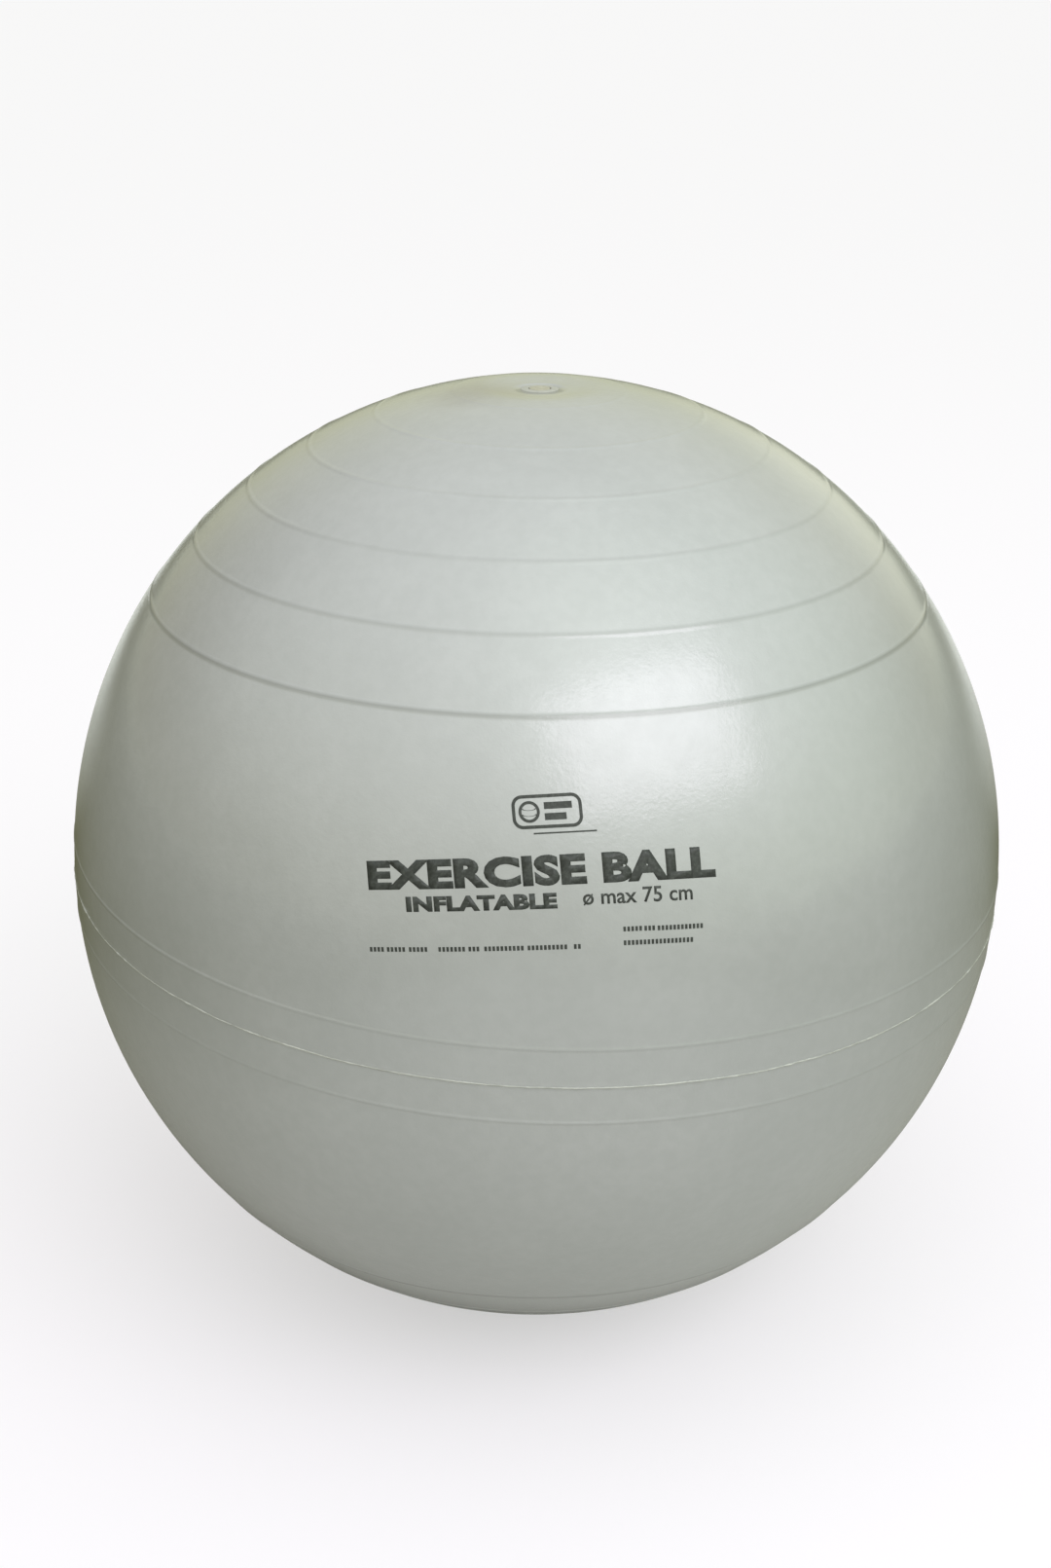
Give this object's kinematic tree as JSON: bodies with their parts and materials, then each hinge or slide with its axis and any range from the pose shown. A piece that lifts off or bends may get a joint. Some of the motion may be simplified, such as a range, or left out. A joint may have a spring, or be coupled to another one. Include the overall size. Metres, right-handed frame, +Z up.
{
  "type": "exercise ball",
  "caption": "Large inflatable exercise ball: a ringed and belted pearl-grey skin with a plugged air valve at the top pole, standing on its own flattened patch.",
  "frame": {"origin": "middle of the flattened patch on the floor", "axes": "+Z up along the ball's moulded axis, through the valve; -Y is the printed side"},
  "size_m": [0.7426, 0.7432, 0.7515],
  "materials": {
    "skin": "satin",
    "seat": "satin",
    "plug": "satin",
    "print": "matte"
  },
  "bodies": {
    "ball": {"ball_shell": "skin", "valve_seat": "seat"},
    "plug": {"valve_plug": "plug"}
  },
  "joints": [
    {"name": "plug_pull", "type": "slide", "parent": "ball", "child": "plug", "axis": [0, 0, 1], "range_m": [0, 0.045]}
  ]
}
